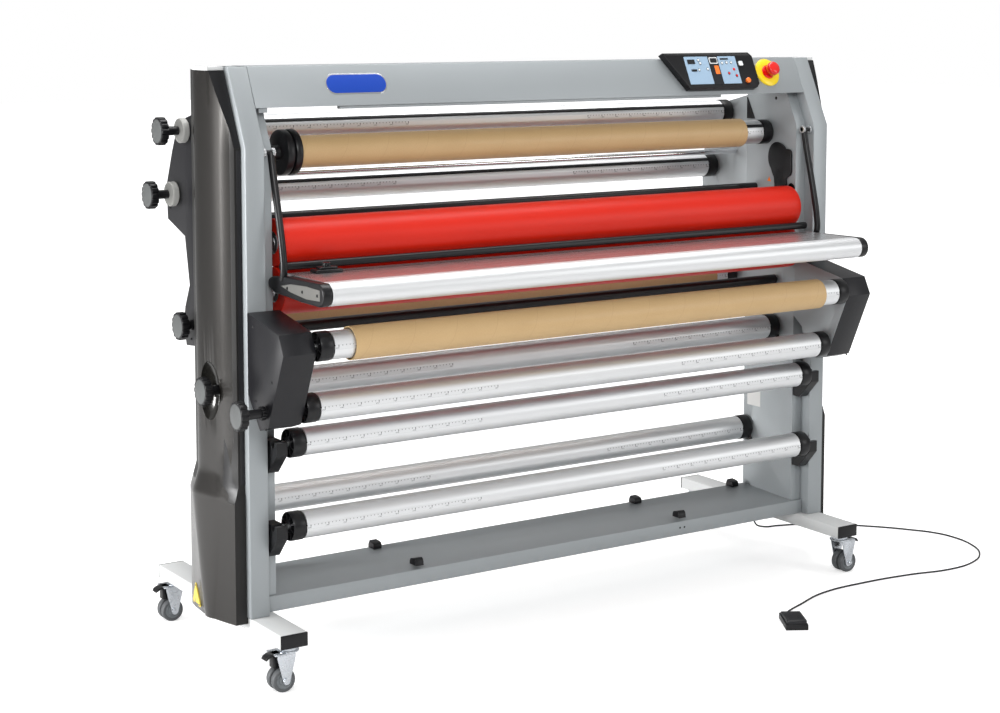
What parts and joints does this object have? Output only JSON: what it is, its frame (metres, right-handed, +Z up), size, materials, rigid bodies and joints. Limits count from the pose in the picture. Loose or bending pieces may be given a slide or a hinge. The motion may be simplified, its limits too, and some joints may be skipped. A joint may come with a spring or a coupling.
{
  "type": "cold roll laminator",
  "caption": "Wide-format cold roll laminator on casters with red silicone nip, swing-up feed table, film shafts and foot pedal",
  "frame": {"origin": "on the floor, under the middle of the machine without its pedal and cord", "axes": "+X to the operator's right along the rollers, +Y to the back, +Z up"},
  "size_m": [2.4859, 1.0577, 1.5245],
  "materials": {
    "frame_grey": "smooth cool light-grey powder coat",
    "satin_black": "satin black coat on sheet and moulded parts",
    "cover_bronze": "dark bronze-grey metallic moulding",
    "zinc_plate": "bright zinc plate",
    "wheel_rubber": "grey non-marking tread",
    "chrome_bar": "polished chrome",
    "red_silicone": "glossy red silicone covering",
    "brushed_aluminium": "satin anodised extrusion with lengthwise grain",
    "kraft_core": "smooth kraft paper winding",
    "orange_lens": "glossy orange lens",
    "signal_yellow": "glossy yellow disc",
    "signal_red": "glossy red mushroom head",
    "cord_rubber": "matte black sheath"
  },
  "bodies": {
    "frame": {"foot_left": "frame_grey", "foot_right": "frame_grey", "column_left": "frame_grey", "column_right": "frame_grey", "side_panel_left": "frame_grey", "side_panel_right": "frame_grey", "rear_wing_left": "satin_black", "rear_wing_right": "satin_black", "front_arm_left": "satin_black", "front_arm_right": "satin_black", "side_cover_left": "cover_bronze", "side_cover_right": "cover_bronze", "top_beam": "frame_grey", "lower_shelf": "frame_grey", "nip_guard_bar": "satin_black", "film_guide_bar": "chrome_bar", "rear_guide_bar": "satin_black", "control_panel": "satin_black", "emergency_stop_plate": "signal_yellow", "drive_motor": "satin_black", "pedal_base": "satin_black", "pedal_cord": "cord_rubber"},
    "nip_carriages": {"nip_carriage_left": "satin_black", "nip_carriage_right": "satin_black"},
    "upper_roller": {"upper_nip_roller": "red_silicone"},
    "lower_roller": {"lower_nip_roller": "red_silicone"},
    "table": {"feed_table": "brushed_aluminium", "table_arm_left": "satin_black", "table_arm_right": "satin_black"},
    "knife": {"trim_knife": "satin_black"},
    "stop_button": {"emergency_stop_button": "signal_red"},
    "power_switch": {"power_switch": "orange_lens"},
    "idler": {"black_idler_roller": "satin_black"},
    "tread": {"pedal_tread": "satin_black"},
    "film_shaft_front": {"film_shaft_front": "brushed_aluminium", "film_front_core": "kraft_core"},
    "film_shaft_rear_upper": {"film_shaft_rear_upper": "brushed_aluminium"},
    "film_shaft_rear_lower": {"film_shaft_rear_lower": "brushed_aluminium"},
    "supply_shaft_front": {"supply_shaft_front": "brushed_aluminium", "supply_front_core": "kraft_core"},
    "supply_shaft_low": {"supply_shaft_low": "brushed_aluminium"},
    "storage_shaft_upper": {"storage_shaft_upper": "brushed_aluminium"},
    "storage_shaft_lower": {"storage_shaft_lower": "brushed_aluminium"},
    "rewind_shaft": {"rewind_shaft": "brushed_aluminium"},
    "storage_shaft_rear": {"storage_shaft_rear": "brushed_aluminium"},
    "waste_shaft_rear": {"waste_shaft_rear": "brushed_aluminium", "waste_rear_core": "kraft_core"},
    "brake_knob_rear_upper": {"brake_knob_rear_upper": "satin_black"},
    "brake_knob_rear_lower": {"brake_knob_rear_lower": "satin_black"},
    "brake_knob_waste": {"brake_knob_waste": "satin_black"},
    "brake_knob_rewind": {"brake_knob_rewind": "satin_black"},
    "brake_knob_supply": {"brake_knob_supply": "satin_black"},
    "fork_front_right": {"caster_fork_front_right": "zinc_plate"},
    "wheel_front_right": {"caster_wheel_front_right": "wheel_rubber"},
    "fork_rear_right": {"caster_fork_rear_right": "zinc_plate"},
    "wheel_rear_right": {"caster_wheel_rear_right": "wheel_rubber"},
    "fork_front_left": {"caster_fork_front_left": "zinc_plate"},
    "wheel_front_left": {"caster_wheel_front_left": "wheel_rubber"},
    "fork_rear_left": {"caster_fork_rear_left": "zinc_plate"},
    "wheel_rear_left": {"caster_wheel_rear_left": "wheel_rubber"}
  },
  "joints": [
    {"name": "nip_lift", "type": "slide", "parent": "frame", "child": "nip_carriages", "axis": [0, 0, 1], "range_m": [0, 0.05]},
    {"name": "upper_roller_turn", "type": "hinge", "parent": "nip_carriages", "child": "upper_roller", "pos_m": [0.00635, -0.103, 1.07015], "axis": [1, 0, 0], "continuous": true},
    {"name": "lower_roller_turn", "type": "hinge", "parent": "frame", "child": "lower_roller", "pos_m": [0.00635, -0.103, 0.94985], "axis": [1, 0, 0], "continuous": true},
    {"name": "table_swing", "type": "hinge", "parent": "frame", "child": "table", "pos_m": [0.00635, -0.143, 1.297], "axis": [1, 0, 0], "range_deg": [-80, 0]},
    {"name": "knife_slide", "type": "slide", "parent": "table", "child": "knife", "axis": [1, 0, 0], "range_m": [0, 1.45]},
    {"name": "stop_press", "type": "slide", "parent": "frame", "child": "stop_button", "axis": [0, 0.9044, -0.4267], "range_m": [0, 0.003], "stiffness_N_per_m": 800},
    {"name": "power_press", "type": "slide", "parent": "frame", "child": "power_switch", "axis": [0, 0.9044, -0.4267], "range_m": [0, 0.002], "stiffness_N_per_m": 600},
    {"name": "film_shaft_front_turn", "type": "hinge", "parent": "frame", "child": "film_shaft_front", "pos_m": [0.00635, 0.005, 1.284], "axis": [1, 0, 0], "continuous": true},
    {"name": "film_shaft_rear_upper_turn", "type": "hinge", "parent": "frame", "child": "film_shaft_rear_upper", "pos_m": [0.00635, 0.188, 1.337], "axis": [1, 0, 0], "continuous": true},
    {"name": "film_shaft_rear_lower_turn", "type": "hinge", "parent": "frame", "child": "film_shaft_rear_lower", "pos_m": [0.00635, 0.258, 1.169], "axis": [1, 0, 0], "continuous": true},
    {"name": "supply_shaft_front_turn", "type": "hinge", "parent": "frame", "child": "supply_shaft_front", "pos_m": [0.00635, -0.328, 0.843], "axis": [1, 0, 0], "continuous": true},
    {"name": "supply_shaft_low_turn", "type": "hinge", "parent": "frame", "child": "supply_shaft_low", "pos_m": [0.00635, -0.256, 0.681], "axis": [1, 0, 0], "continuous": true},
    {"name": "storage_shaft_upper_turn", "type": "hinge", "parent": "frame", "child": "storage_shaft_upper", "pos_m": [0.00635, -0.179, 0.581], "axis": [1, 0, 0], "continuous": true},
    {"name": "storage_shaft_lower_turn", "type": "hinge", "parent": "frame", "child": "storage_shaft_lower", "pos_m": [0.00635, -0.176, 0.371], "axis": [1, 0, 0], "continuous": true},
    {"name": "rewind_shaft_turn", "type": "hinge", "parent": "frame", "child": "rewind_shaft", "pos_m": [0.00635, -0.037, 0.704], "axis": [1, 0, 0], "continuous": true},
    {"name": "storage_shaft_rear_turn", "type": "hinge", "parent": "frame", "child": "storage_shaft_rear", "pos_m": [0.00635, 0.082, 0.376], "axis": [1, 0, 0], "continuous": true},
    {"name": "waste_shaft_rear_turn", "type": "hinge", "parent": "frame", "child": "waste_shaft_rear", "pos_m": [0.00635, 0.162, 0.838], "axis": [1, 0, 0], "continuous": true},
    {"name": "brake_knob_rear_upper_turn", "type": "hinge", "parent": "frame", "child": "brake_knob_rear_upper", "pos_m": [-0.96365, 0.188, 1.337], "axis": [1, 0, 0], "range_deg": [-270, 270]},
    {"name": "brake_knob_rear_lower_turn", "type": "hinge", "parent": "frame", "child": "brake_knob_rear_lower", "pos_m": [-0.96365, 0.258, 1.169], "axis": [1, 0, 0], "range_deg": [-270, 270]},
    {"name": "brake_knob_waste_turn", "type": "hinge", "parent": "frame", "child": "brake_knob_waste", "pos_m": [-0.96365, 0.162, 0.838], "axis": [1, 0, 0], "range_deg": [-270, 270]},
    {"name": "brake_knob_rewind_turn", "type": "hinge", "parent": "frame", "child": "brake_knob_rewind", "pos_m": [-0.96365, -0.037, 0.704], "axis": [1, 0, 0], "range_deg": [-270, 270]},
    {"name": "brake_knob_supply_turn", "type": "hinge", "parent": "frame", "child": "brake_knob_supply", "pos_m": [-0.96365, -0.256, 0.681], "axis": [1, 0, 0], "range_deg": [-270, 270]},
    {"name": "idler_turn", "type": "hinge", "parent": "frame", "child": "idler", "pos_m": [0.00635, -0.044, 0.845], "axis": [1, 0, 0], "continuous": true},
    {"name": "swivel_front_right", "type": "hinge", "parent": "frame", "child": "fork_front_right", "pos_m": [0.91035, -0.28, 0.09], "axis": [0, 0, 1], "continuous": true},
    {"name": "wheel_turn_front_right", "type": "hinge", "parent": "fork_front_right", "child": "wheel_front_right", "pos_m": [0.93035, -0.28, 0.03], "axis": [0, 1, 0], "continuous": true},
    {"name": "swivel_rear_right", "type": "hinge", "parent": "frame", "child": "fork_rear_right", "pos_m": [0.91035, 0.38, 0.09], "axis": [0, 0, 1], "continuous": true},
    {"name": "wheel_turn_rear_right", "type": "hinge", "parent": "fork_rear_right", "child": "wheel_rear_right", "pos_m": [0.93035, 0.38, 0.03], "axis": [0, 1, 0], "continuous": true},
    {"name": "swivel_front_left", "type": "hinge", "parent": "frame", "child": "fork_front_left", "pos_m": [-0.89765, -0.28, 0.09], "axis": [0, 0, 1], "continuous": true},
    {"name": "wheel_turn_front_left", "type": "hinge", "parent": "fork_front_left", "child": "wheel_front_left", "pos_m": [-0.91765, -0.28, 0.03], "axis": [0, 1, 0], "continuous": true},
    {"name": "swivel_rear_left", "type": "hinge", "parent": "frame", "child": "fork_rear_left", "pos_m": [-0.89765, 0.38, 0.09], "axis": [0, 0, 1], "continuous": true},
    {"name": "wheel_turn_rear_left", "type": "hinge", "parent": "fork_rear_left", "child": "wheel_rear_left", "pos_m": [-0.91765, 0.38, 0.03], "axis": [0, 1, 0], "continuous": true},
    {"name": "tread_press", "type": "hinge", "parent": "frame", "child": "tread", "pos_m": [0.4396, -0.62286, 0.011], "axis": [0.8572, -0.515, 0], "range_deg": [-2, 0], "stiffness_Nm_per_rad": 6}
  ],
  "couplings": [
    {"joint": "upper_roller_turn", "follows": "lower_roller_turn", "ratio": -1}
  ]
}
